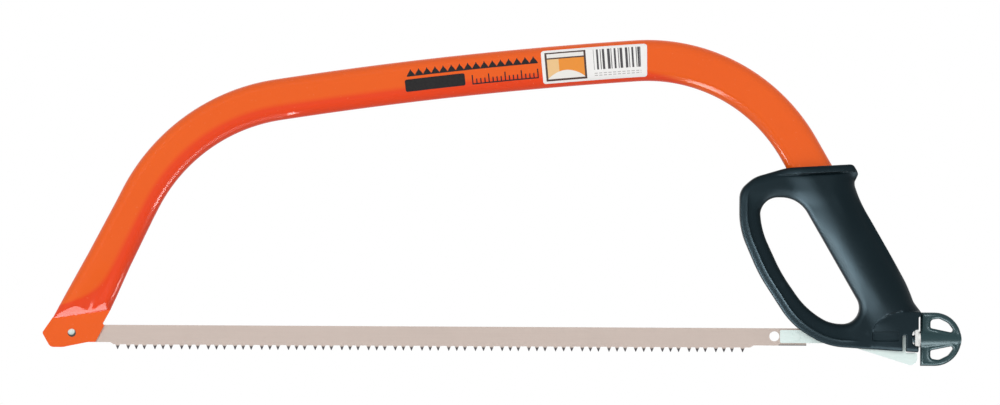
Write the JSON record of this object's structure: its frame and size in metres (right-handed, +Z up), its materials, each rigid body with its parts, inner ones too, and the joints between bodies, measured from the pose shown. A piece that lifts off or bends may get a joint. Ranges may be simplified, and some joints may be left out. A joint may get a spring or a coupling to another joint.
{
  "type": "bow saw",
  "caption": "Bow saw with a bent flattened-oval tube frame, closed D handle and a toothed blade on pins that a wing knob behind the handle draws tight.",
  "frame": {"origin": "centre of the grip, on the axis of the tube inside it and in the saw's middle plane", "axes": "+X along the blade from the front pin to the handle, +Y across the saw's thickness away from the labelled side, +Z up with the teeth pointing down"},
  "size_m": [0.6721, 0.032, 0.2375],
  "materials": {
    "orange_enamel": "gloss enamel",
    "blade_steel": "satin, hardened tooth tips",
    "zinc_plate": "bright zinc plate",
    "handle_plastic": "satin",
    "knob_plastic": "satin",
    "pressed_steel": "bare sheet",
    "black_print": "printed film",
    "white_sticker": "paper label under film"
  },
  "bodies": {
    "saw_frame": {"frame_tube": "orange_enamel", "blade": "blade_steel", "front_pin": "zinc_plate", "front_pin_clip": "zinc_plate", "handle_shell_left": "handle_plastic", "handle_shell_right": "handle_plastic", "handle_screws": "zinc_plate", "tube_pin": "zinc_plate", "thrust_plate": "pressed_steel", "size_label": "black_print", "info_sticker": "white_sticker"},
    "draw_bar": {"draw_cheek_left": "pressed_steel", "draw_cheek_right": "pressed_steel", "cheek_rivets": "pressed_steel", "crosshead": "pressed_steel", "rear_pin": "zinc_plate", "rear_pin_clip": "zinc_plate", "tension_bolt": "zinc_plate"},
    "knob": {"wing_knob": "knob_plastic", "knob_nut": "zinc_plate", "thrust_washer": "pressed_steel"}
  },
  "joints": [
    {"name": "knob_turn", "type": "hinge", "parent": "saw_frame", "child": "knob", "pos_m": [0.04655, 0, -0.06593], "axis": [1, 0, 0], "range_deg": [0, 2160]},
    {"name": "tension_slide", "type": "slide", "parent": "saw_frame", "child": "draw_bar", "axis": [-1, 0, 0], "range_m": [0, 0.006]}
  ],
  "couplings": [
    {"joint": "knob_turn", "follows": "tension_slide", "rad_per_m": 6283.2}
  ]
}
